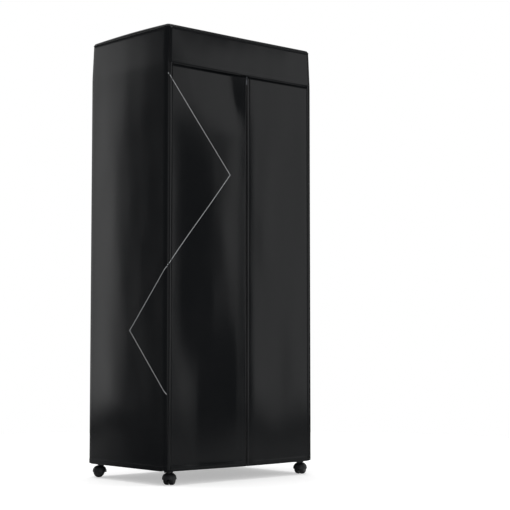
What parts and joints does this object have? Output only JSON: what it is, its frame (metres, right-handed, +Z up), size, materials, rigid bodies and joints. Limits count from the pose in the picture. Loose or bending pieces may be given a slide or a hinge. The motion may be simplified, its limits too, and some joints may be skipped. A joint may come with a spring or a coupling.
{
  "type": "portable clothes dryer",
  "caption": "Tall rectangular cloth-covered drying cabinet on twin-wheel casters, with zipped front doors, hanging rails inside and a round fan heater at its foot.",
  "frame": {"origin": "on the floor, under the middle of the whole footprint", "axes": "+Z up, the doors and the heater panel face -Y, +X to the right as seen from the front"},
  "size_m": [0.717, 0.48, 1.6529],
  "materials": {
    "chrome_tube": "polished chrome-plated steel tube",
    "black_nylon": "moulded black nylon with a low sheen",
    "black_wheel": "hard black wheel plastic",
    "black_cloth": "black coated polyester cloth with a soft sheen",
    "black_zinc": "black-coated zinc casting",
    "white_plastic": "white moulded plastic",
    "gloss_black": "gloss black panel plastic",
    "pale_button": "pale grey button plastic",
    "motor_steel": "plated steel motor can",
    "aluminium_fins": "bare aluminium fins",
    "green_board": "green circuit board",
    "lamp_glass": "clear glass lamp tube"
  },
  "bodies": {
    "cabinet": {"post_front_left_upper": "chrome_tube", "post_front_left_middle": "chrome_tube", "post_front_left_lower": "chrome_tube", "post_front_right_upper": "chrome_tube", "post_front_right_middle": "chrome_tube", "post_front_right_lower": "chrome_tube", "post_back_left_upper": "chrome_tube", "post_back_left_middle": "chrome_tube", "post_back_left_lower": "chrome_tube", "post_back_right_upper": "chrome_tube", "post_back_right_middle": "chrome_tube", "post_back_right_lower": "chrome_tube", "top_rail_front": "chrome_tube", "top_rail_middle": "chrome_tube", "top_rail_back": "chrome_tube", "upper_rail_front": "chrome_tube", "upper_rail_middle_front": "chrome_tube", "upper_rail_middle_back": "chrome_tube", "upper_rail_back": "chrome_tube", "lower_rail_front": "chrome_tube", "lower_rail_back": "chrome_tube", "bottom_rail_front": "chrome_tube", "bottom_rail_back": "chrome_tube", "side_bar_left_top": "black_nylon", "side_bar_right_top": "black_nylon", "side_bar_left_upper": "black_nylon", "side_bar_right_upper": "black_nylon", "side_bar_left_lower": "black_nylon", "side_bar_right_lower": "black_nylon", "side_bar_left_bottom": "black_nylon", "side_bar_right_bottom": "black_nylon", "cover_shell": "black_cloth", "cover_pelmet": "black_cloth"},
    "door_left": {"door_left": "black_cloth"},
    "door_right": {"door_right": "black_cloth"},
    "zip_slider": {"zip_slider": "black_zinc"},
    "zip_pull": {"zip_pull": "black_zinc"},
    "heater": {"heater_base": "black_nylon", "heater_housing": "white_plastic", "outlet_cage": "black_nylon", "deflector_disc": "black_nylon", "control_panel": "gloss_black", "fan_motor": "motor_steel", "fan_shroud": "black_nylon", "heating_element": "aluminium_fins", "control_board": "green_board", "uv_lamp": "lamp_glass", "cord_gland": "black_nylon"},
    "fan": {"fan_impeller": "black_nylon"},
    "power_button": {"power_button": "pale_button"},
    "timer_button": {"timer_button": "pale_button"},
    "caster_front_left": {"caster_housing_front_left": "black_nylon"},
    "wheels_front_left": {"caster_wheels_front_left": "black_wheel"},
    "caster_front_right": {"caster_housing_front_right": "black_nylon"},
    "wheels_front_right": {"caster_wheels_front_right": "black_wheel"},
    "caster_back_left": {"caster_housing_back_left": "black_nylon"},
    "wheels_back_left": {"caster_wheels_back_left": "black_wheel"},
    "caster_back_right": {"caster_housing_back_right": "black_nylon"},
    "wheels_back_right": {"caster_wheels_back_right": "black_wheel"}
  },
  "joints": [
    {"name": "door_left_hinge", "type": "hinge", "parent": "cabinet", "child": "door_left", "pos_m": [-0.3352, -0.2345, 0], "axis": [0, 0, -1], "range_deg": [0, 165]},
    {"name": "door_right_hinge", "type": "hinge", "parent": "cabinet", "child": "door_right", "pos_m": [0.3352, -0.2345, 0], "axis": [0, 0, 1], "range_deg": [0, 165]},
    {"name": "zip_slide", "type": "slide", "parent": "door_left", "child": "zip_slider", "axis": [0, 0, -1], "range_m": [0, 1.41]},
    {"name": "zip_pull_hinge", "type": "hinge", "parent": "zip_slider", "child": "zip_pull", "pos_m": [0.01745, -0.2363, 1.497], "axis": [-1, 0, 0], "range_deg": [0, 70]},
    {"name": "heater_lift", "type": "slide", "parent": "cabinet", "child": "heater", "axis": [0, 0, 1], "range_m": [0, 0.06]},
    {"name": "fan_spin", "type": "hinge", "parent": "heater", "child": "fan", "pos_m": [0, 0, 0.137], "axis": [0, 0, 1], "continuous": true},
    {"name": "power_button_press", "type": "slide", "parent": "heater", "child": "power_button", "axis": [0, 1, 0], "range_m": [0, 0.0012], "stiffness_N_per_m": 150},
    {"name": "timer_button_press", "type": "slide", "parent": "heater", "child": "timer_button", "axis": [0, 1, 0], "range_m": [0, 0.0012], "stiffness_N_per_m": 150},
    {"name": "caster_front_left_swivel", "type": "hinge", "parent": "cabinet", "child": "caster_front_left", "pos_m": [-0.32, -0.2015, 0.045], "axis": [0, 0, 1], "continuous": true},
    {"name": "wheels_front_left_roll", "type": "hinge", "parent": "caster_front_left", "child": "wheels_front_left", "pos_m": [-0.31088, -0.19535, 0.02], "axis": [0.5592, -0.829, 0], "continuous": true},
    {"name": "caster_front_right_swivel", "type": "hinge", "parent": "cabinet", "child": "caster_front_right", "pos_m": [0.32, -0.2015, 0.045], "axis": [0, 0, 1], "continuous": true},
    {"name": "wheels_front_right_roll", "type": "hinge", "parent": "caster_front_right", "child": "wheels_front_right", "pos_m": [0.33005, -0.19703, 0.02], "axis": [0.4067, -0.9135, 0], "continuous": true},
    {"name": "caster_back_left_swivel", "type": "hinge", "parent": "cabinet", "child": "caster_back_left", "pos_m": [-0.32, 0.2015, 0.045], "axis": [0, 0, 1], "continuous": true},
    {"name": "wheels_back_left_roll", "type": "hinge", "parent": "caster_back_left", "child": "wheels_back_left", "pos_m": [-0.32817, 0.20886, 0.02], "axis": [0.6691, 0.7431, 0], "continuous": true},
    {"name": "caster_back_right_swivel", "type": "hinge", "parent": "cabinet", "child": "caster_back_right", "pos_m": [0.32, 0.2015, 0.045], "axis": [0, 0, 1], "continuous": true},
    {"name": "wheels_back_right_roll", "type": "hinge", "parent": "caster_back_right", "child": "wheels_back_right", "pos_m": [0.31624, 0.21184, 0.02], "axis": [0.9397, 0.342, 0], "continuous": true}
  ]
}
